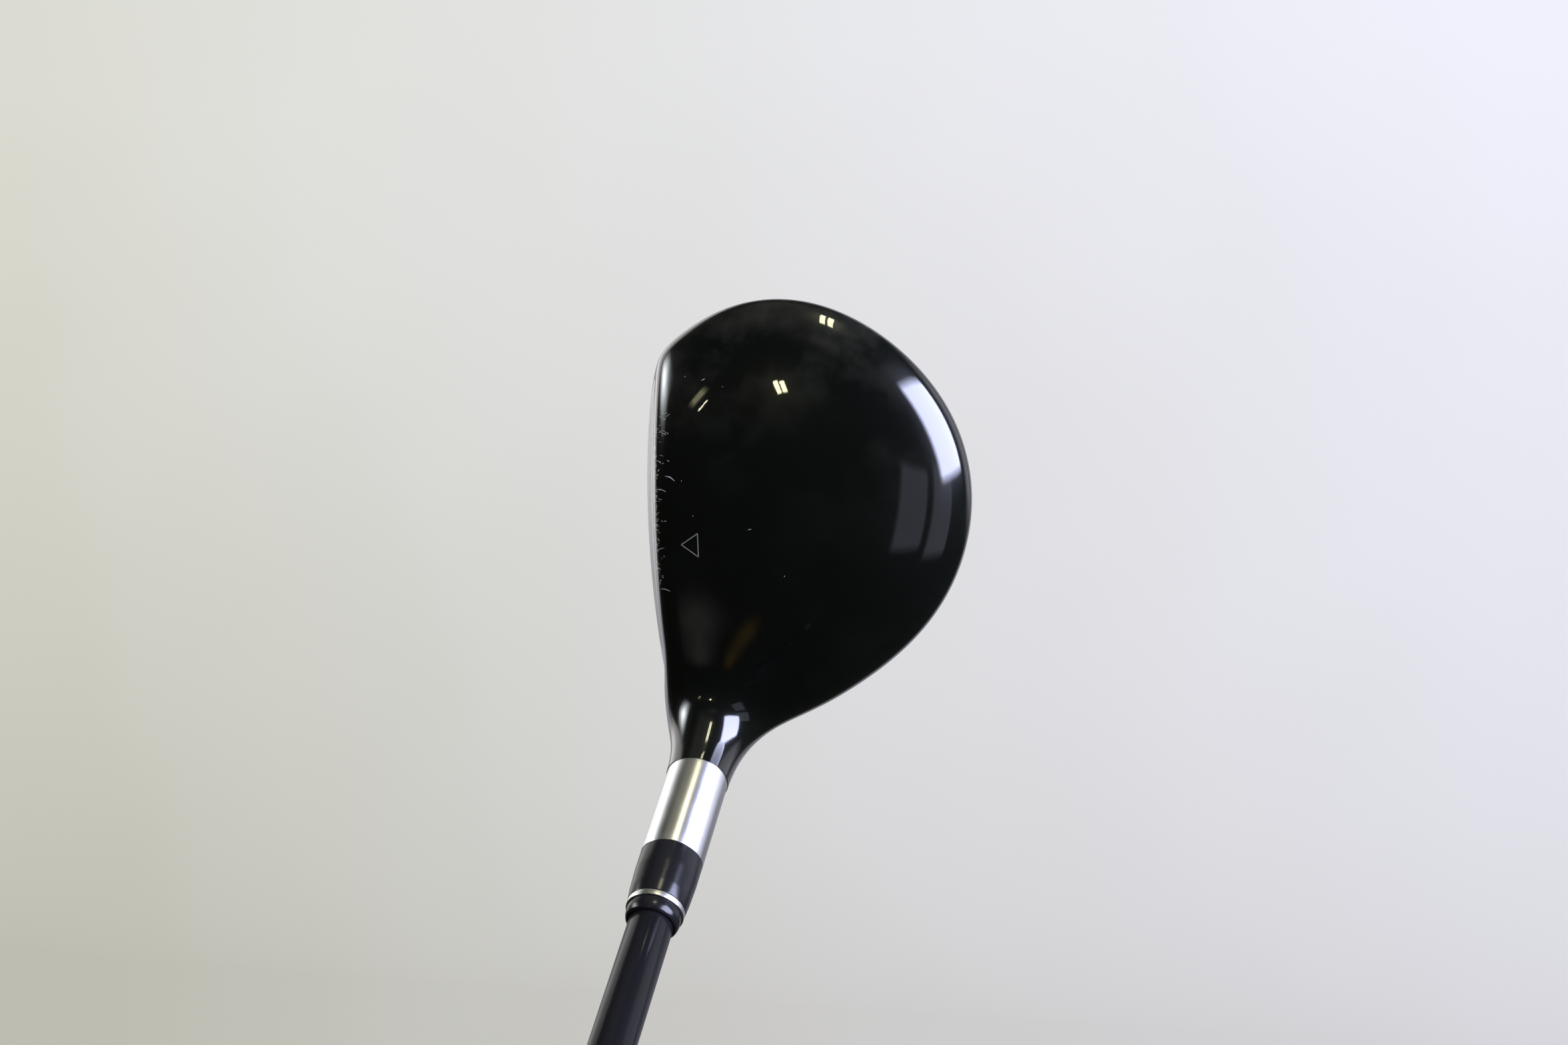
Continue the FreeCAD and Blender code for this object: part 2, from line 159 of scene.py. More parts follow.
def face_zone(points):
    """Positive on the bare steel of the face, zero along its painted edge."""
    edge = face_ball(points) - pebble(points) - FACE_PAINT_EDGE
    return np.minimum(edge, points[:, 1] - FACE_HEEL_Y)


def sole_zone(points):
    """Positive on the sole plate, about the distance to its edge."""
    rho = np.maximum(np.hypot(points[:, 0], points[:, 1]), 1e-6)
    turn = (points[:, 0] + 1j * points[:, 1]) / rho
    inside = SOLE_SCALE * rim_radius(turn, np.full(rho.shape, 0.8)) - rho
    behind_face = -face_ball(points) - SOLE_FACE_GAP
    return np.minimum(np.minimum(inside, SOLE_TOP - points[:, 2]), behind_face)


def badge_zone(points):
    """Positive on the badge under the sole, about the distance to its edge."""
    across = np.hypot((points[:, 0] - BADGE_X) / BADGE_HALF_X, points[:, 1] / BADGE_HALF_Y)
    return np.minimum((1 - across) * BADGE_HALF_X, SOLE_TOP - points[:, 2])


def line_gap(points):
    """Distance to the nearest score line of the face."""
    height = (points - FACE_CENTER) @ FACE_UP
    gap = np.abs((height + LINE_STEP / 2) % LINE_STEP - LINE_STEP / 2)
    outside = np.maximum(np.abs(height) - LINE_REACH, 0) + np.maximum(pebble(points) + LINE_EDGE_GAP, 0)
    outside += np.maximum(FACE_HEEL_Y + LINE_HEEL_GAP - points[:, 1], 0)
    return gap + outside


def worn_edge(points):
    """How worn the paint is, 0 to 1: a narrow band along the middle of the face's upper edge."""
    near = 1 - ramp(-face_ball(points), 0.4, 2.0)
    middle = ramp(points[:, 1], -22, -10) * (1 - ramp(points[:, 1], 20, 30))
    return near * middle * ramp(points[:, 2], 20, 28)


def carved_head(points):
    """The head with the fine seams round the sole and the badge and the score lines of the face."""
    seam = np.minimum(np.abs(sole_zone(points)), np.abs(badge_zone(points)))
    grooves = SEAM_DEPTH * np.exp(-(seam / SEAM_WIDTH) ** 2)
    on_face = face_zone(points) > 0.3
    lines = LINE_DEPTH * np.exp(-(line_gap(points) / LINE_WIDTH) ** 4)
    return head(points) + grooves + np.where(on_face, lines, 0.0)


def feature_gap(points):
    """Distance to the nearest fine feature, which needs small triangles."""
    edge = np.hypot(face_ball(points), pebble(points))
    seam = np.minimum(np.abs(sole_zone(points)), np.abs(badge_zone(points)))
    lines = np.where(face_zone(points) > 0.0, line_gap(points), 9.0)
    return np.minimum(np.minimum(edge, seam), lines)


# ---------------------------------------------------------------- from the field to a mesh

def surface_net(field, low, high, step):
    """Quads near the field's zero: one corner in each grid cell that the surface crosses."""
    axes = [np.arange(a, b + step, step) for a, b in zip(low, high)]
    grid = np.stack(np.meshgrid(*axes, indexing="ij"), -1)
    shape = grid.shape[:3]
    parts = np.array_split(grid.reshape(-1, 3), 40)
    inside = np.concatenate([field(part) for part in parts]).reshape(shape) < 0
    count = np.zeros(tuple(n - 1 for n in shape), int)
    for i, j, k in np.ndindex(2, 2, 2):
        count += inside[i:shape[0] - 1 + i, j:shape[1] - 1 + j, k:shape[2] - 1 + k]
    crossed = (count > 0) & (count < 8)
    index = np.full(crossed.shape, -1)
    index[crossed] = np.arange(crossed.sum())
    points = grid[:-1, :-1, :-1][crossed] + step / 2
    quads = []
    for axis in range(3):
        one, two = (axis + 1) % 3, (axis + 2) % 3
        first = np.take(inside, range(shape[axis] - 1), axis)
        second = np.take(inside, range(1, shape[axis]), axis)
        change = np.argwhere(first != second)
        fits = (change[:, one] > 0) & (change[:, one] < crossed.shape[one])
        fits &= (change[:, two] > 0) & (change[:, two] < crossed.shape[two])
        change = change[fits]
        ring = []
        for a, b in ((1, 1), (0, 1), (0, 0), (1, 0)):
            cell = change.copy()
            cell[:, one] -= a
            cell[:, two] -= b
            ring.append(index[tuple(cell.T)])
        ring = np.stack(ring, 1)
        outward = first[tuple(change.T)]
        ring[~outward] = ring[~outward][:, ::-1]
        quads.append(ring)
    return points, np.concatenate(quads)


def gradient(field, points, step=0.01):
    parts = []
    for axis in range(3):
        shift = np.zeros(3)
        shift[axis] = step
        parts.append((field(points + shift) - field(points - shift)) / (2 * step))
    return np.stack(parts, 1)


def unit(vectors):
    return vectors / np.maximum(np.linalg.norm(vectors, axis=1), 1e-9)[:, None]


def settle(field, points, rounds=4):
    """Moves points onto the field's zero along its gradient."""
    for _ in range(rounds):
        slope = gradient(field, points)
        square = np.maximum((slope ** 2).sum(1), 1e-6)
        move = -(field(points) / square)[:, None] * slope
        length = np.linalg.norm(move, axis=1)
        points = points + move * np.minimum(1, 1 / np.maximum(length, 1e-9))[:, None]
    return points


def relax(points, quads):
    """Each point goes to the middle of its neighbours."""
    total = np.zeros_like(points)
    count = np.zeros(len(points))
    for i in range(4):
        a, b = quads[:, i], quads[:, (i + 1) % 4]
        np.add.at(total, a, points[b])
        np.add.at(total, b, points[a])
        np.add.at(count, a, 1)
        np.add.at(count, b, 1)
    return total / count[:, None]


def coordinates(bm):
    return np.array([v.co for v in bm.verts], float).reshape(-1, 3)


def place(bm, points):
    for vert, point in zip(bm.verts, points):
        vert.co = point


def refine(bm, reach):
    """Halves the edges near the fine features."""
    close = feature_gap(coordinates(bm)) < reach
    bm.verts.index_update()
    edges = [e for e in bm.edges if close[e.verts[0].index] and close[e.verts[1].index]]
    bmesh.ops.subdivide_edges(bm, edges=edges, cuts=1, use_grid_fill=True)
    place(bm, settle(head, coordinates(bm), 3))


def split_at(bm, zone):
    """Cuts the faces along the zone's zero, so that no face crosses it."""
    values = zone(coordinates(bm))
    values[np.abs(values) < 1e-4] = 1e-4
    bm.verts.index_update()
    crossing = []
    for edge in bm.edges:
        a, b = values[edge.verts[0].index], values[edge.verts[1].index]
        if a * b < 0:
            crossing.append((edge, edge.verts[0], a / (a - b)))
    fresh = [bmesh.utils.edge_split(edge, start, share)[1] for edge, start, share in crossing]
    bmesh.ops.connect_verts(bm, verts=fresh)


def make_head_surface():
    """The whole outside of the head as triangles: (points, triangles)."""
    points, quads = surface_net(head, NET_LOW, NET_HIGH, NET_STEP)
    points = settle(head, points)
    for _ in range(3):
        points = settle(head, relax(points, quads), 2)
    bm = bmesh.new()
    verts = [bm.verts.new(p) for p in points]
    for quad in quads:
        bm.faces.new([verts[i] for i in quad])
    for reach in REFINE_REACHES:
        refine(bm, reach)
    bmesh.ops.triangulate(bm, faces=bm.faces[:])
    for zone in (lambda p: NECK_END - station(p), face_zone, sole_zone, badge_zone):
        split_at(bm, zone)
        bmesh.ops.triangulate(bm, faces=bm.faces[:])
    points = coordinates(bm)
    bm.verts.index_update()
    triangles = np.array([[v.index for v in f.verts] for f in bm.faces])
    bm.free()
    middle = points[triangles].mean(1)
    return points, triangles[station(middle) < NECK_END]


def shell_piece(name, points, triangles, thickness, material):
    """A closed shell: the outer triangles, the same ones pushed inward, and the walls between them."""
    used, corners = np.unique(triangles, return_inverse=True)
    corners = corners.reshape(-1, 3)
    outer = points[used]
    normals = unit(gradient(carved_head, outer, 0.03))
    end = station(outer) > NECK_END - 1e-3
    surface = np.where(end[:, None], outer, settle(carved_head, outer, 2))
    inner = outer - unit(gradient(head, outer)) * thickness
    count = len(used)
    owner = {}
    for a, b in corners[:, [0, 1, 1, 2, 2, 0]].reshape(-1, 2):
        owner[(a, b)] = owner.get((a, b), 0) + 1
    rim = [(a, b) for a, b in owner if (b, a) not in owner]
    faces = corners.tolist()
    faces += (corners[:, ::-1] + count).tolist()
    faces += [(b, a, a + count, b + count) for a, b in rim]
    mesh = bpy.data.meshes.new(name)
    mesh.from_pydata((np.concatenate([surface, inner]) * MM).tolist(), [], faces)
    mesh.materials.append(material)
    mesh.shade_smooth()
    own = np.zeros((len(mesh.loops), 3))
    loop = 0
    for ring in faces:
        flat = len(ring) == 4
        for vert in ring:
            if not flat:
                own[loop] = normals[vert] if vert < count else -normals[vert - count]
            loop += 1
    mesh.polygons.foreach_set("use_smooth", [len(ring) == 3 for ring in faces])
    mesh.normals_split_custom_set(own.tolist())
    wear = mesh.attributes.new("wear", "FLOAT", "POINT")
    value = np.concatenate([worn_edge(outer), np.zeros(count)])
    wear.data.foreach_set("value", value.astype(np.float32))
    return add_object(name, mesh)


def add_object(name, mesh):
    piece = bpy.data.objects.new(name, mesh)
    bpy.context.scene.collection.objects.link(piece)
    return piece


def finish_piece(piece, slot, *nodes):
    """The piece rides on the club and stands for its CAD nodes, which it hides; its slot is not used."""
    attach(piece, "root")
    if nodes:
        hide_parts(*nodes)
    return piece


# ---------------------------------------------------------------- materials

def new_material(name, color, metallic=0.0, roughness=0.5):
    material = bpy.data.materials.new(name)
    material.use_nodes = True
    shader = material.node_tree.nodes["Principled BSDF"]
    shader.inputs["Base Color"].default_value = (*color, 1)
    shader.inputs["Metallic"].default_value = metallic
    shader.inputs["Roughness"].default_value = roughness
    return material, shader


def add_node(material, kind, **inputs):
    """A new node in the node tree of a material, the world or a lamp, with its inputs set by name."""
    node = material.node_tree.nodes.new(kind)
    for key, value in inputs.items():
        node.inputs[key.replace("_", " ")].default_value = value
    return node


def connect(material, output, target):
    material.node_tree.links.new(output, target)


def object_space(material, scale=(1, 1, 1), turn=(0, 0, 0)):
    """Object coordinates, stretched and turned, in metres."""
    place_node = add_node(material, "ShaderNodeTexCoord")
    mapping = add_node(material, "ShaderNodeMapping", Scale=scale, Rotation=turn)
    connect(material, place_node.outputs["Object"], mapping.inputs["Vector"])
    return mapping.outputs["Vector"]


def noise(material, vector, scale, detail=3.0, roughness=0.5):
    node = add_node(material, "ShaderNodeTexNoise", Scale=scale, Detail=detail, Roughness=roughness)
    connect(material, vector, node.inputs["Vector"])
    return node.outputs["Fac"]


def remap(material, value, low, high, to_low, to_high):
    node = add_node(material, "ShaderNodeMapRange")
    for name, number in (("From Min", low), ("From Max", high), ("To Min", to_low), ("To Max", to_high)):
        node.inputs[name].default_value = number
    connect(material, value, node.inputs["Value"])
    return node.outputs["Result"]


def math_node(material, operation, a, b):
    node = add_node(material, "ShaderNodeMath")
    node.operation = operation
    for socket, value in zip(node.inputs, (a, b)):
        if isinstance(value, (int, float)):
            socket.default_value = value
        else:
            connect(material, value, socket)
    return node.outputs["Value"]


def blend_colors(material, factor, first, second):
    """A colour between two: each is a plain colour or another node's output."""
    node = add_node(material, "ShaderNodeMix")
    node.data_type = "RGBA"
    connect(material, factor, node.inputs["Factor"])
    for socket, value in ((node.inputs["A"], first), (node.inputs["B"], second)):
        if isinstance(value, tuple):
            socket.default_value = (*value, 1)
        else:
            connect(material, value, socket)
    return node.outputs["Result"]


def add_bump(material, shader, height, strength, distance=0.0001, socket="Normal"):
    bump = add_node(material, "ShaderNodeBump", Strength=strength, Distance=distance)
    connect(material, height, bump.inputs["Height"])
    connect(material, bump.outputs["Normal"], shader.inputs[socket])


def gloss_paint():
    """Black paint under a clear coat, with faint orange peel, cloudy smears that grow into a painted
    greenish glow toward the toe lamps, worn at the face's edge.
    """
    clean, greenish_glow_tint, bare = (0.0020, 0.0024, 0.0019), (0.0130, 0.0135, 0.0105), (0.30, 0.30, 0.29)
    material, shader = new_material("gloss_black_paint", clean, 0.0, 0.24)
    shader.inputs["Specular IOR Level"].default_value = 0.08
    shader.inputs["Coat Weight"].default_value = 1.0
    shader.inputs["Coat IOR"].default_value = 1.5
    shader.inputs["Coat Roughness"].default_value = 0.02
    space = object_space(material)
    add_bump(material, shader, noise(material, space, 380, 2), 0.022, 0.0002, "Coat Normal")
    wear = add_node(material, "ShaderNodeAttribute")
    wear.attribute_name = "wear"
    chips = noise(material, object_space(material, (300, 1100, 900), (0, 0, 0.35)), 1.0, 4, 0.65)
    chipped = math_node(material, "MULTIPLY", wear.outputs["Fac"], chips)
    worn = remap(material, chipped, 0.54, 0.62, 0.0, 1.0)
    split = add_node(material, "ShaderNodeSeparateXYZ")
    connect(material, space, split.inputs["Vector"])
    # Painted glow: the cloudy smears are lighter and greener toward the toe, standing in for the haze of
    # light round the toe lamps' reflection.
    glow_toward_toe = remap(material, split.outputs["Y"], 0.005, 0.040, 0.15, 1.0)
    cloud = remap(material, noise(material, space, 75, 6, 0.65), 0.48, 0.74, 0.0, 1.0)
    smears_and_glow = math_node(material, "MULTIPLY", cloud, glow_toward_toe)
    black = blend_colors(material, smears_and_glow, clean, greenish_glow_tint)
    color = blend_colors(material, worn, black, bare)
    connect(material, color, shader.inputs["Base Color"])
    return material


def brushed_steel(name, color, roughness, scale, turn=(0, 0, 0)):
    """Bare steel with fine brush marks along one direction and blotchy polish."""
    material, shader = new_material(name, color, 1.0, roughness)
    lines = noise(material, object_space(material, scale, turn), 1.0, 5, 0.6)
    patches = noise(material, object_space(material), 90, 3)
    spread = remap(material, patches, 0.3, 0.7, roughness - 0.05, roughness + 0.07)
    streaks = remap(material, lines, 0.3, 0.7, -0.05, 0.05)
    connect(material, math_node(material, "ADD", spread, streaks), shader.inputs["Roughness"])
    add_bump(material, shader, lines, 0.25, 0.00003)
    return material


def turned_steel(name, color, roughness, anisotropy):
    """Steel polished round the axis: light spreads along it, and fine rings show in the bump."""
    ridges = 4500
    material, shader = new_material(name, color, 1.0, roughness)
    shader.inputs["Anisotropic"].default_value = anisotropy
    tangent = add_node(material, "ShaderNodeTangent")
    tangent.direction_type = "UV_MAP"
    tangent.uv_map = "turning"
    connect(material, tangent.outputs["Tangent"], shader.inputs["Tangent"])
    turning = add_node(material, "ShaderNodeUVMap")
    turning.uv_map = "turning"
    mapping = add_node(material, "ShaderNodeMapping", Scale=(ridges, 5, 1))
    connect(material, turning.outputs["UV"], mapping.inputs["Vector"])
    rings = noise(material, mapping.outputs["Vector"], 1.0, 4, 0.6)
    patches = noise(material, object_space(material), 140, 3)
    spread = remap(material, patches, 0.3, 0.7, roughness - 0.03, roughness + 0.04)
    connect(material, spread, shader.inputs["Roughness"])
    add_bump(material, shader, rings, 0.10, 0.00002)
    return material


def gloss_black(name, color, roughness, coat_roughness, coat=1.0):
    """Black plastic or lacquer: an uneven base under a clear polish with a fine grain."""
    material, shader = new_material(name, color, 0.0, roughness)
    shader.inputs["Specular IOR Level"].default_value = 0.02
    shader.inputs["Coat Weight"].default_value = coat
    shader.inputs["Coat Roughness"].default_value = coat_roughness
    space = object_space(material)
    patches = noise(material, space, 120, 4)
    connect(material, remap(material, patches, 0.3, 0.7, roughness - 0.04, roughness + 0.06),
            shader.inputs["Roughness"])
    add_bump(material, shader, noise(material, space, 700, 2), 0.03, 0.0001, "Coat Normal")
    return material


def rubber(name, color):
    """Dull black rubber: a fine grain, rubbed smoother in patches."""
    roughness = 0.72
    material, shader = new_material(name, color, 0.0, roughness)
    space = object_space(material)
    grain = noise(material, space, 2200, 3, 0.6)
    wear = noise(material, space, 45, 4)
    connect(material, remap(material, wear, 0.3, 0.75, roughness - 0.16, roughness + 0.08),
            shader.inputs["Roughness"])
    add_bump(material, shader, grain, 0.5, 0.0001)
    return material


def matte(name, color, roughness, grain=500):
    """A dull surface with a fine speckle."""
    material, shader = new_material(name, color, 0.0, roughness)
    speckle = noise(material, object_space(material), grain, 4)
    connect(material, remap(material, speckle, 0.3, 0.7, roughness - 0.1, roughness + 0.1),
            shader.inputs["Roughness"])
    add_bump(material, shader, speckle, 0.3, 0.0002)
    return material


# ---------------------------------------------------------------- pieces turned on the shaft axis

def on_axis(radius, angle, along):
    """Points about the shaft axis, in millimetres."""
    ring = np.cos(angle)[:, None] * np.array([1.0, 0, 0]) + np.sin(angle)[:, None] * AXIS_SIDE
    return AXIS_FOOT + radius[:, None] * ring + along[:, None] * AXIS


def rounded(corners, bend=0.12, steps=4):
    """The corners of a closed profile with each one rounded off, as (radius, station) rows."""
    path = []
    count = len(corners)
    for i, corner in enumerate(np.array(corners, float)):
        before = np.array(corners[i - 1], float) - corner
        after = np.array(corners[(i + 1) % count], float) - corner
        room = 0.45 * min(np.linalg.norm(before), np.linalg.norm(after))
        cut = 0.0 if corner[0] == 0 else min(bend, room)
        if cut == 0:
            path.append(corner)
            continue
        start = corner + before / np.linalg.norm(before) * cut
        stop = corner + after / np.linalg.norm(after) * cut
        for t in np.linspace(0, 1, steps + 1):
            path.append((1 - t) ** 2 * start + 2 * t * (1 - t) * corner + t ** 2 * stop)
    return np.array(path)


def turned(name, profile, material, segments=160):
    """A closed profile turned about the shaft axis; rows at radius 0 close up to one point."""
    rows = len(profile)
    angle = np.linspace(0, 2 * math.pi, segments, endpoint=False)
    points, index = [], np.zeros((rows, segments), int)
    for r, (radius, along) in enumerate(profile):
        if radius < 1e-6:
            index[r] = len(points)
            points.append(AXIS_FOOT + along * AXIS)
        else:
            index[r] = len(points) + np.arange(segments)
            points.extend(on_axis(np.full(segments, radius), angle, np.full(segments, along)))
    faces, turning = [], []
    for r in range(rows):
        nxt = (r + 1) % rows
        low, high = profile[r][1] * MM, profile[nxt][1] * MM
        for s in range(segments):
            t = (s + 1) % segments
            corners = {
                index[r, s]: (low, s / segments), index[r, t]: (low, (s + 1) / segments),
                index[nxt, t]: (high, (s + 1) / segments), index[nxt, s]: (high, s / segments),
            }
            if len(corners) > 2:
                faces.append(list(corners))
                turning.extend(corners.values())
    mesh = bpy.data.meshes.new(name)
    mesh.from_pydata((np.array(points) * MM).tolist(), [], faces)
    mesh.materials.append(material)
    mesh.shade_smooth()
    uv = mesh.uv_layers.new(name="turning")
    uv.data.foreach_set("uv", np.array(turning).ravel())
    bm = bmesh.new()
    bm.from_mesh(mesh)
    bmesh.ops.recalc_face_normals(bm, faces=bm.faces[:])
    bm.to_mesh(mesh)
    bm.free()
    mesh.set_sharp_from_angle(angle=math.radians(50))
    return add_object(name, mesh)


# Stations along the shaft axis and radii, in millimetres.
HOSEL_TOP, HOSEL_RADIUS, HOSEL_BORE = 69.9, 6.55, 4.55
HOSEL_FOOT, HOSEL_FLOOR, HOSEL_ROOT_RADIUS = 30.0, 35.5, 5.6
FERRULE_END = HOSEL_TOP + 12.8
RING_END = FERRULE_END + 1.3
CAP_END = RING_END + 3.0
FERRULE_BORE, SPIGOT_RADIUS, SPIGOT_END = 4.6, 5.15, CAP_END - 0.6
SHAFT_TIP, TAPER_START, TAPER_END, BUTT = 38.5, 138.5, 902.8, 1063.0
SHAFT_RADIUS, BUTT_RADIUS, TIP_RADIUS = 4.575, 7.6, 4.45
SHAFT_BORE_LOW, SHAFT_BORE_HIGH = 2.5, 6.5
GRIP_MOUTH, GRIP_TOP, CLUB_END = 800.0, BUTT - 4.0, 1067.0
MOUTH_LENGTH, TAPE_THICKNESS = 1.5, 0.15
CAP_HOLE, CAP_PLUG, CAP_FLANGE = 1.5, 11.3, 14.5


def shaft_radius(along):
    share = np.clip((along - TAPER_START) / (TAPER_END - TAPER_START), 0, 1)
    return SHAFT_RADIUS + (BUTT_RADIUS - SHAFT_RADIUS) * share


def make_hosel(steel):
    profile = rounded([
        (0, HOSEL_FOOT), (HOSEL_ROOT_RADIUS, HOSEL_FOOT), (HOSEL_ROOT_RADIUS, NECK_END),
        (HOSEL_RADIUS + 0.05, NECK_END), (HOSEL_RADIUS, NECK_END + 2.5), (HOSEL_RADIUS, HOSEL_TOP),
        (HOSEL_BORE, HOSEL_TOP), (HOSEL_BORE, HOSEL_FLOOR), (0, HOSEL_FLOOR),
    ], 0.15)
    return finish_piece(turned("hosel_tube_steel", profile, steel), "hosel_steel", "hosel_tube")


def make_ferrule(black, silver):
    body = rounded([
        (FERRULE_BORE, HOSEL_TOP), (6.52, HOSEL_TOP), (6.5, HOSEL_TOP + 5), (6.28, HOSEL_TOP + 10),
        (6.0, FERRULE_END), (SPIGOT_RADIUS, FERRULE_END), (SPIGOT_RADIUS, SPIGOT_END),
        (FERRULE_BORE, SPIGOT_END),
    ], 0.22)
    finish_piece(turned("ferrule_sleeve", body, black), "ferrule", "ferrule_body")
    ring = rounded([
        (SPIGOT_RADIUS, FERRULE_END), (5.98, FERRULE_END), (5.98, RING_END), (SPIGOT_RADIUS, RING_END),
    ], 0.15)
    finish_piece(turned("ferrule_ring", ring, silver), "trim_ring", "ferrule_trim_ring")
    cap = rounded([
        (SPIGOT_RADIUS, RING_END), (5.65, RING_END), (5.62, RING_END + 1.6), (5.35, RING_END + 2.6),
        (4.95, CAP_END), (FERRULE_BORE, CAP_END), (FERRULE_BORE, SPIGOT_END), (SPIGOT_RADIUS, SPIGOT_END),
    ], 0.25)
    finish_piece(turned("ferrule_lip", cap, black), "ferrule", "ferrule_end_cap")


def make_shaft(lacquer, film, trim):
    """The tube with its plain tip and taper, and the label film and the band that lie on it."""
    stations = np.concatenate([[TAPER_START], np.linspace(TAPER_START, TAPER_END, 40)[1:], [BUTT]])
    outside = [(TIP_RADIUS, SHAFT_TIP), (TIP_RADIUS, HOSEL_TOP), (SHAFT_RADIUS, HOSEL_TOP + 0.2)]
    outside += [(float(shaft_radius(s)), float(s)) for s in stations]
    inside = [(SHAFT_BORE_HIGH, BUTT), (SHAFT_BORE_HIGH, TAPER_END),
              (SHAFT_BORE_LOW, TAPER_START), (SHAFT_BORE_LOW, SHAFT_TIP)]
    profile = np.array(outside + inside)
    finish_piece(turned("shaft_tube", profile, lacquer, 128), "shaft", "graphite_shaft")
    for name, low, high, material, slot, node in (
        ("shaft_film", 600.0, 720.0, film, "label_film", "shaft_label_film"),
        ("shaft_band", 724.0, 730.0, trim, "trim_band", "shaft_trim_band"),
    ):
        skin = [(shaft_radius(low), low), (shaft_radius(low) + 0.1, low),
                (shaft_radius(high) + 0.1, high), (shaft_radius(high), high)]
        piece = turned(name, rounded(skin, 0.04), material, 128)
        finish_piece(piece, slot, node)


def grip_radius(along):
    """The rubber's outer radius: a rounded mouth, then a long taper to the butt."""
    share = np.clip((along - GRIP_MOUTH) / (BUTT - 5 - GRIP_MOUTH), 0, 1)
    body = 9.3 + 3.95 * share ** 1.6
    past_mouth = np.clip((along - GRIP_MOUTH) / MOUTH_LENGTH, 0, 1)
    mouth = 0.9 * (1 - np.sqrt(1 - (1 - past_mouth) ** 2))
    return body - mouth


def grip_pattern(along, angle):
    """Depth of the moulded pattern: crossing spiral grooves in three panels, with plain bands between."""
    panels = ((818, 868), (880, 960), (972, 1046))
    inside = np.zeros_like(along)
    for low, high in panels:
        inside = np.maximum(inside, ramp(along, low, low + 2) * (1 - ramp(along, high - 2, high)))
    right = np.abs(np.sin(9 * angle + along * 0.55))
    left = np.abs(np.sin(9 * angle - along * 0.55))
    groove = np.maximum(ramp(0.25 - right, 0, 0.2), ramp(0.25 - left, 0, 0.2))
    bands = np.zeros_like(along)
    for middle in (811.0, 874.0, 966.0, 1051.0):
        bands = np.maximum(bands, np.exp(-((along - middle) / 0.8) ** 2))
    return 0.35 * np.maximum(groove * inside, bands)


def make_grip(grip_rubber, cap_rubber):
    """The grip's sleeve with its moulded pattern, and the cap with its vent hole."""
    columns, rows = 216, 420
    angle = np.linspace(0, 2 * math.pi, columns, endpoint=False)
    along = np.concatenate([np.linspace(GRIP_MOUTH, GRIP_MOUTH + MOUTH_LENGTH, 6)[:-1],
                            np.linspace(GRIP_MOUTH + MOUTH_LENGTH, GRIP_TOP, rows)])
    tape = shaft_radius(along) + TAPE_THICKNESS
    grid_along, grid_angle = np.meshgrid(along, angle, indexing="ij")
    radius = grip_radius(grid_along) - grip_pattern(grid_along, grid_angle)
    outer = on_axis(radius.ravel(), grid_angle.ravel(), grid_along.ravel())
    bore_rows = [len(along) - 1, len(along) // 2, 0]
    bore = np.concatenate([
        on_axis(np.full(columns, tape[r]), angle, np.full(columns, along[r])) for r in bore_rows
    ])
    points = np.concatenate([outer, bore])
    rings = np.arange(len(points)).reshape(-1, columns).tolist()
    faces = []
    for r in range(len(rings)):
        one, two = rings[r], rings[(r + 1) % len(rings)]
        for s in range(columns):
            t = (s + 1) % columns
            faces.append((one[s], one[t], two[t], two[s]))
    mesh = bpy.data.meshes.new("grip_rubber_sleeve")
    mesh.from_pydata((points * MM).tolist(), [], faces)
    mesh.materials.append(grip_rubber)
    mesh.shade_smooth()
    mesh.set_sharp_from_angle(angle=math.radians(55))
    finish_piece(add_object("grip_rubber_sleeve", mesh), "grip_rubber", "grip_sleeve")
    cap = rounded([
        (CAP_HOLE, BUTT), (CAP_PLUG, BUTT), (CAP_PLUG, GRIP_TOP), (13.6, GRIP_TOP),
        (CAP_FLANGE, BUTT - 2.5), (CAP_FLANGE, BUTT + 0.5), (13.3, BUTT + 2.6), (10.5, CLUB_END),
        (CAP_HOLE, CLUB_END),
    ], 0.5, 5)
    finish_piece(turned("grip_cap_rubber", cap, cap_rubber), "cap_rubber", "grip_end_cap")


# ---------------------------------------------------------------- the head's pieces and its marks

def drop(points):
    """Points seen from above, let down onto the crown."""
    points = np.column_stack([points, np.full(len(points), RIM_HEIGHT + 8.0)])
    for _ in range(12):
        above, below = points + (0, 0, 0.01), points - (0, 0, 0.01)
        slope = np.maximum((head(above) - head(below)) / 0.02, 0.2)
        points[:, 2] -= np.clip(head(points) / slope, -2, 2)
    return points


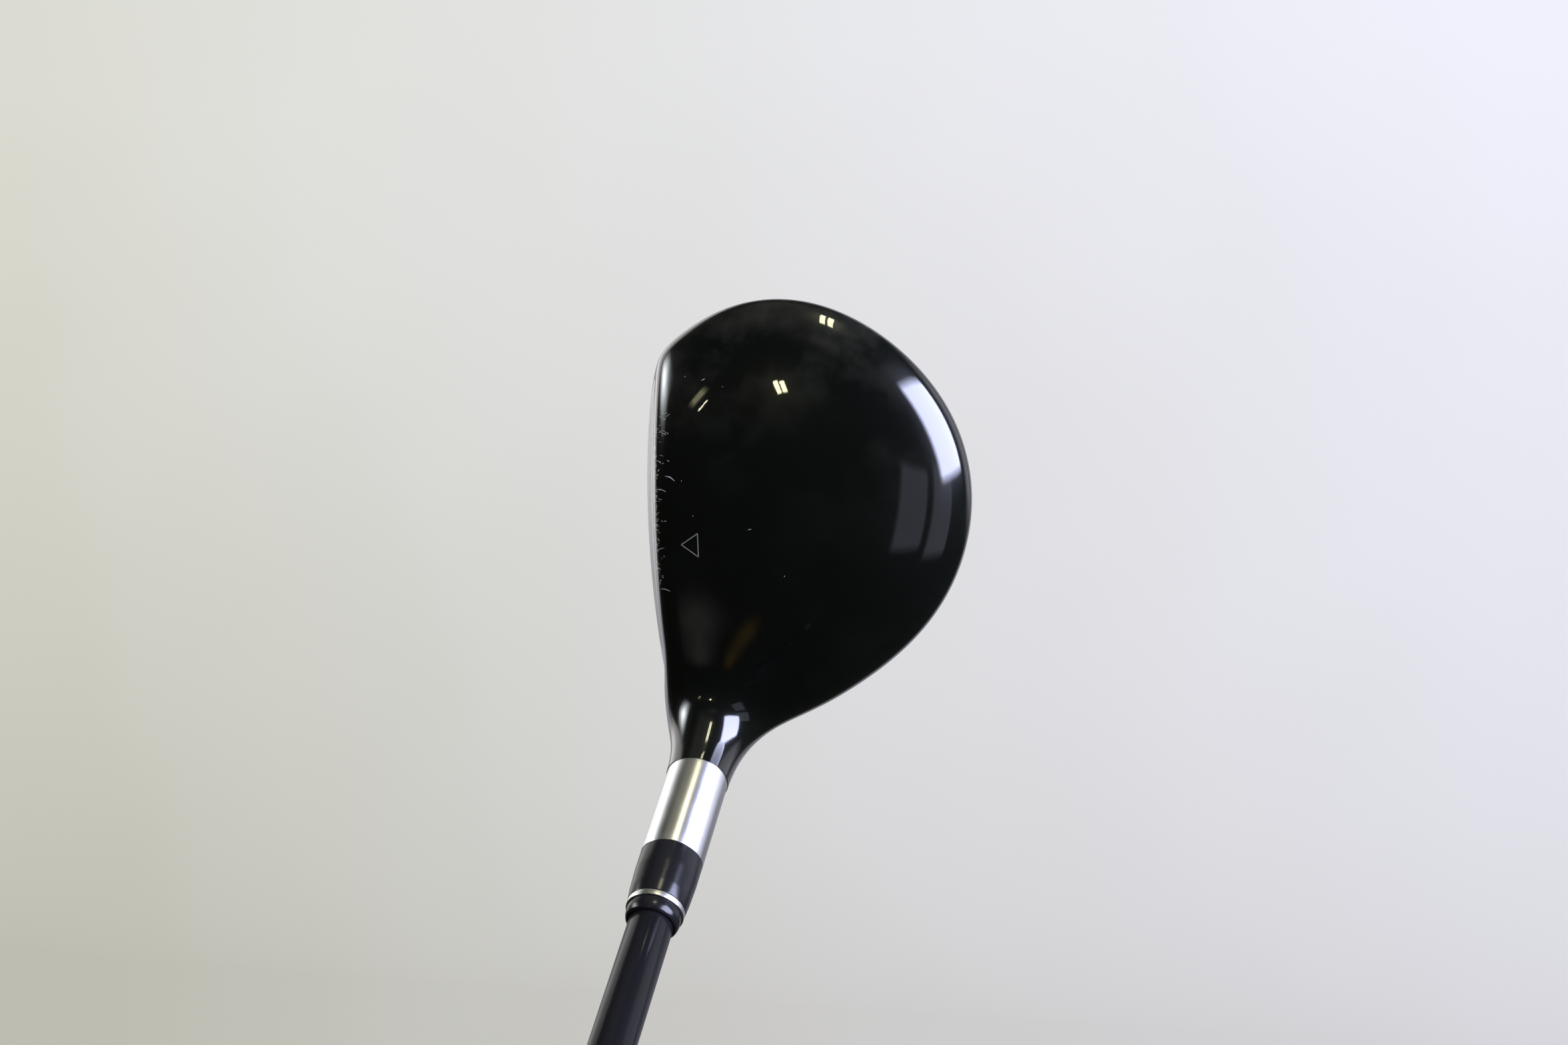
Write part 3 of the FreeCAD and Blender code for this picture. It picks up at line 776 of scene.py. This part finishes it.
def marks(name, strokes, material, even=False):
    """Thin closed strips on the crown: each stroke is a path seen from above and its width."""
    points, faces = [], []
    proud, buried = 0.02, 0.06
    for path, width in strokes:
        path = np.array(path, float)
        length = np.concatenate([[0], np.cumsum(np.hypot(*np.diff(path, axis=0).T))])
        where = np.linspace(0, length[-1], max(5, int(length[-1] / 0.25)))
        path = np.column_stack([np.interp(where, length, column) for column in path.T])
        along = np.gradient(path, axis=0)
        along /= np.linalg.norm(along, axis=1)[:, None]
        taper = 0.25 + 0.75 * np.sin(np.linspace(0, math.pi, len(path)))
        if even:
            taper = np.ones(len(path))
        side = np.column_stack([-along[:, 1], along[:, 0]]) * taper[:, None] * width / 2
        left, right = drop(path + side), drop(path - side)
        out_left, out_right = unit(gradient(head, left)), unit(gradient(head, right))
        start, count = len(points), len(path)
        for i in range(count):
            points += [left[i] + proud * out_left[i], right[i] + proud * out_right[i],
                       right[i] - buried * out_right[i], left[i] - buried * out_left[i]]
        for i in range(start, start + 4 * (count - 1), 4):
            faces += [(i + a, i + 4 + a, i + 4 + (a + 1) % 4, i + (a + 1) % 4) for a in range(4)]
        faces += [(start, start + 1, start + 2, start + 3)]
        last = start + 4 * (count - 1)
        faces += [(last + 3, last + 2, last + 1, last)]
    mesh = bpy.data.meshes.new(name)
    mesh.from_pydata((np.array(points) * MM).tolist(), [], faces)
    mesh.materials.append(material)
    return finish_piece(add_object(name, mesh), "head_paint")


def sight_strokes():
    """A plain outlined triangle that points at the face, to help the player aim."""
    tip, top, low = (-15.4, -3.3), (-11.6, -0.8), (-11.6, -5.8)
    return [((tip, top), 0.22), ((top, low), 0.22), ((low, tip), 0.22)]


def face_edge_x(y):
    """Where the face's upper edge lies, seen from above."""
    edge_height = 31.5
    reach = math.sqrt(FACE_RADIUS ** 2 - y ** 2 - (edge_height - BALL_CENTER[2]) ** 2)
    return BALL_CENTER[0] - reach


def wear_strokes():
    """Chips and scratches: short ones along the face's edge, a few fine ones across the crown."""
    draw = np.random.default_rng(5)
    chips, scratches = 46, 7
    strokes = []
    for _ in range(chips):
        y = draw.uniform(-14, 26)
        x = face_edge_x(y) + 0.7 + draw.exponential(0.8)
        length = draw.choice([0.3, 0.6, 1.1, 2.6], p=[0.35, 0.3, 0.2, 0.15])
        turn = draw.normal(0.15, 0.45)
        step = length * np.array([math.cos(turn), math.sin(turn)])
        bend = 0.12 * length * np.array([-math.sin(turn), math.cos(turn)])
        middle = (x + step[0] / 2 + bend[0], y + step[1] / 2 + bend[1])
        path = ((x, y), middle, (x + step[0], y + step[1]))
        strokes.append((path, draw.uniform(0.05, 0.17)))
    for _ in range(scratches):
        x, y, turn = draw.uniform(-18, 30), draw.uniform(-20, 36), draw.uniform(0, math.pi)
        length = draw.choice([0.3, 0.9])
        step = 0.5 * length * np.array([math.cos(turn), math.sin(turn)])
        path = ((x - step[0], y - step[1]), (x + step[0], y + step[1]))
        strokes.append((path, draw.uniform(0.05, 0.12)))
    return strokes


def make_head(paint, face_steel, sole_steel, badge_gloss):
    """The head's surface sorted into its painted shell, face, sole and badge."""
    points, triangles = make_head_surface()
    middle = points[triangles].mean(1)
    on_face = face_zone(middle) > 0
    on_badge = (badge_zone(middle) > 0) & ~on_face
    on_sole = (sole_zone(middle) > 0) & ~on_face & ~on_badge
    painted = ~(on_face | on_badge | on_sole)
    shell = shell_piece("head_painted_shell", points, triangles[painted], PAINTED_WALL, paint)
    finish_piece(shell, "head_paint", "head_body", "crown_shell")
    face = shell_piece("face_with_lines", points, triangles[on_face], FACE_WALL, face_steel)
    finish_piece(face, "face_steel", "face_plate")
    sole = shell_piece("sole_brushed_plate", points, triangles[on_sole], SOLE_WALL, sole_steel)
    finish_piece(sole, "sole_steel", "sole_plate")
    badge = shell_piece("sole_inlay", points, triangles[on_badge], BADGE_WALL, badge_gloss)
    finish_piece(badge, "badge", "sole_badge")


# ---------------------------------------------------------------- floor, lights and camera

HEAD_MIDDLE = Vector((0.005, 0.0, 0.03))
PALE = (0.74, 0.74, 0.75)
BACKDROP_SIDE = (-0.25, -0.136, -0.959)
FLOOR_HALF, LAMP_DISTANCE = 30.0, 2.2


def make_floor():
    """A floor that glows by its own emission, pale far off, with painted light falling across it round the
    club, left out of what the gloss reflects.
    """
    material, shader = new_material("pale_floor", (0.01, 0.01, 0.01), 0.0, 0.9)
    position = add_node(material, "ShaderNodeTexCoord").outputs["Object"]
    split = add_node(material, "ShaderNodeSeparateXYZ")
    connect(material, position, split.inputs["Vector"])
    cloud = remap(material, noise(material, position, 7, 3), 0.3, 0.7, -0.05, 0.05)
    across = remap(material, split.outputs["X"], -0.19, 0.157, 0.0, 1.0)
    across = math_node(material, "ADD", across, cloud)
    along = remap(material, split.outputs["Y"], -0.117, 0.104, 0.0, 1.0)
    along = math_node(material, "ADD", math_node(material, "POWER", along, 0.66), cloud)
    # Painted light: near the club the glow is dim and olive at -X -Y and bright blue-white at +X +Y, as if
    # lit from one side.
    near = blend_colors(material, across, (0.505, 0.500, 0.430), (0.655, 0.648, 0.685))
    far = blend_colors(material, across, (0.695, 0.695, 0.620), (0.865, 0.870, 0.965))
    painted_falloff = blend_colors(material, along, near, far)
    distance = add_node(material, "ShaderNodeVectorMath")
    distance.operation = "LENGTH"
    connect(material, position, distance.inputs[0])
    away = remap(material, distance.outputs["Value"], 0.3, 1.1, 0.0, 1.0)
    connect(material, blend_colors(material, away, painted_falloff, PALE), shader.inputs["Emission Color"])
    shader.inputs["Emission Strength"].default_value = 1.0
    shader.inputs["Specular IOR Level"].default_value = 0.0
    add_bump(material, shader, noise(material, position, 90, 4), 0.1, 0.001)
    mesh = bpy.data.meshes.new("floor")
    corners = [(x * FLOOR_HALF, y * FLOOR_HALF, 0) for x, y in ((-1, -1), (1, -1), (1, 1), (-1, 1))]
    mesh.from_pydata(corners, [], [(0, 1, 2, 3)])
    mesh.materials.append(material)
    floor = add_object("floor", mesh)
    floor.visible_glossy = False
    floor.visible_shadow = False


def make_world():
    """A dark room with a pale backdrop under the club, and a pale tone past the edge of the floor."""
    world = bpy.data.worlds.new("studio")
    bpy.context.scene.world = world
    world.use_nodes = True
    background = world.node_tree.nodes["Background"]
    direction = add_node(world, "ShaderNodeTexCoord")
    below = add_node(world, "ShaderNodeVectorMath")
    below.operation = "DOT_PRODUCT"
    below.inputs[1].default_value = BACKDROP_SIDE
    connect(world, direction.outputs["Generated"], below.inputs[0])
    edge, full = math.cos(math.radians(47)), math.cos(math.radians(37))
    share = remap(world, below.outputs["Value"], edge, full, 0.0, 1.0)
    reflected = blend_colors(world, share, (0.022, 0.025, 0.019), (0.38, 0.38, 0.42))
    path = add_node(world, "ShaderNodeLightPath")
    seen = blend_colors(world, path.outputs["Is Camera Ray"], reflected, PALE)
    connect(world, seen, background.inputs["Color"])


def soften(lamp, soft):
    """Fades the lamp towards its edges, over this share of its half size."""
    lamp.use_nodes = True
    emission = lamp.node_tree.nodes["Emission"]
    place_node = add_node(lamp, "ShaderNodeNewGeometry")
    split = add_node(lamp, "ShaderNodeSeparateXYZ")
    connect(lamp, place_node.outputs["Parametric"], split.inputs["Vector"])
    shares = []
    for side in ("X", "Y"):
        inward = math_node(lamp, "PINGPONG", split.outputs[side], 0.5)
        shares.append(remap(lamp, inward, 0.0, 0.5 * soft, 0.0, 1.0))
    smooth = math_node(lamp, "POWER", math_node(lamp, "MULTIPLY", *shares), 1.5)
    connect(lamp, smooth, emission.inputs["Strength"])


def softbox(name, azimuth, elevation, width, height, radiance, color, soft):
    """A rectangular lamp that faces the head, placed by direction, with its size in degrees."""
    lamp = bpy.data.lights.new(name, "AREA")
    lamp.shape = "RECTANGLE"
    lamp.size = 2 * LAMP_DISTANCE * math.tan(math.radians(width / 2))
    lamp.size_y = 2 * LAMP_DISTANCE * math.tan(math.radians(height / 2))
    lamp.color = color
    lamp.energy = radiance * math.pi * lamp.size * lamp.size_y
    soften(lamp, soft)
    az, el = math.radians(azimuth), math.radians(elevation)
    out = Vector((math.cos(el) * math.cos(az), math.cos(el) * math.sin(az), math.sin(el)))
    piece = bpy.data.objects.new(name, lamp)
    bpy.context.scene.collection.objects.link(piece)
    turn = out.to_track_quat("Z", "Y").to_matrix().to_4x4()
    piece.matrix_world = Matrix.Translation(HEAD_MIDDLE + out * LAMP_DISTANCE) @ turn
    piece.visible_camera = False


def make_lights():
    """Windows, lamps and pale panels, each where the gloss of the head shows one."""
    blue, cool, grey = (0.66, 0.70, 1.0), (0.92, 0.97, 1.0), (0.76, 0.80, 1.0)
    warm, yellow, olive = (1.0, 0.97, 0.66), (1.0, 0.95, 0.58), (1.0, 0.95, 0.76)
    softbox("window", 24, 11, 44, 54, 26, blue, 0.22)
    softbox("window_low", 17, -43, 62, 42, 1.05, (0.84, 0.86, 1.0), 0.5)
    softbox("side_window", 158, 6, 26, 56, 18, cool, 0.9)
    softbox("side_low", 162, -38, 58, 42, 1.25, (1.0, 0.98, 0.95), 0.4)
    softbox("toe_lamp_left", 81.3, 10.5, 2.5, 24, 24, warm, 0.25)
    softbox("toe_lamp_right", 78.0, 10.5, 2.5, 24, 24, warm, 0.25)
    softbox("toe_room", 98, 2, 56, 84, 0.18, olive, 0.6)
    softbox("toe_haze", 82, 42, 36, 18, 0.26, olive, 1.0)
    softbox("top_lamp_left", 111.8, 64.3, 1.4, 4.6, 34, yellow, 0.3)
    softbox("top_lamp_right", 108.3, 64.6, 1.4, 4.0, 34, yellow, 0.3)
    softbox("face_lamp", 144, 51.0, 6.5, 3.6, 3.4, (1.0, 0.92, 0.55), 0.6)
    softbox("face_lamp_tube", 145.5, 54.6, 3.4, 0.6, 24, (1.0, 0.96, 0.75), 0.3)
    softbox("panel_upper", -10, 56, 28, 19, 0.70, grey, 0.25)
    softbox("panel_lower", -10, 31, 36, 27, 0.80, grey, 0.25)
    softbox("room_patch", -136, 50, 15, 17, 0.22, (1.0, 1.0, 0.92), 0.8)
    softbox("room_amber", -118, 54, 6, 13, 0.26, (1.0, 0.60, 0.10), 0.8)


def make_camera():
    """A 50 mm lens half a metre above the crown, tilted towards the heel and the face."""
    lens = bpy.data.cameras.new("camera")
    lens.lens = 50
    lens.sensor_width = 36
    lens.clip_start = 0.01
    camera = bpy.data.objects.new("camera", lens)
    bpy.context.scene.collection.objects.link(camera)
    back = Vector((0.2499, 0.1356, 0.9587)).normalized()
    right = Vector((0.9682, -0.0261, -0.2487))
    right = (right - back * right.dot(back)).normalized()
    up = back.cross(right)
    turn = Matrix((right, up, back)).transposed().to_4x4()
    camera.matrix_world = Matrix.Translation((0.1212, 0.0635, 0.4722)) @ turn
    bpy.context.scene.camera = camera


def dress_hidden_pieces():
    """The pieces inside the club keep their CAD shape and get their own material."""
    finishes = {
        "bore_stop_plug": matte("white_moulding", (0.80, 0.80, 0.76), 0.45),
        "epoxy_sleeve": matte("cured_resin", (0.45, 0.33, 0.14), 0.3),
        "tip_weight_pin": brushed_steel("turned_brass", (0.72, 0.52, 0.22), 0.3, (400, 4000, 4000)),
        "sole_weight": brushed_steel("cast_weight", (0.35, 0.35, 0.34), 0.5, (500, 500, 500)),
        "hot_melt_pad": matte("hot_melt", (0.62, 0.52, 0.28), 0.4, 120),
        "grip_tape": matte("double_sided_tape", (0.78, 0.74, 0.60), 0.7),
    }
    for node, material in finishes.items():
        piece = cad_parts[node]
        piece.data.materials.clear()
        piece.data.materials.append(material)


def main():
    bpy.context.scene.view_settings.view_transform = "Standard"
    make_camera()
    make_floor()
    make_world()
    make_lights()
    ferrule_black = gloss_black("ferrule_black", (0.006, 0.006, 0.0065), 0.3, 0.20, coat=0.5)
    bright_ring = turned_steel("ring_silver", (0.66, 0.66, 0.62), 0.32, 0.3)
    make_head(
        gloss_paint(),
        brushed_steel("face_satin_steel", (0.58, 0.58, 0.57), 0.38, (900, 90, 900)),
        brushed_steel("sole_satin_steel", (0.50, 0.50, 0.49), 0.30, (900, 60, 900), (0, 0, 0.2)),
        gloss_black("badge_black", (0.02, 0.02, 0.022), 0.35, 0.10),
    )
    marks("sight_triangle", sight_strokes(), matte("sight_mark_grey", (0.17, 0.165, 0.13), 0.5), even=True)
    marks("crown_wear", wear_strokes(), matte("worn_paint", (0.45, 0.45, 0.43), 0.5))
    make_hosel(turned_steel("hosel_satin_steel", (0.76, 0.755, 0.75), 0.34, 0.6))
    make_ferrule(ferrule_black, bright_ring)
    make_shaft(
        gloss_black("shaft_lacquer", (0.005, 0.005, 0.0055), 0.35, 0.10, coat=0.32),
        gloss_black("label_grey", (0.06, 0.06, 0.065), 0.4, 0.17),
        turned_steel("band_silver", (0.7, 0.7, 0.7), 0.3, 0.5),
    )
    make_grip(
        rubber("grip_black_rubber", (0.022, 0.022, 0.023)),
        rubber("cap_black_rubber", (0.03, 0.03, 0.03)),
    )
    dress_hidden_pieces()


main()
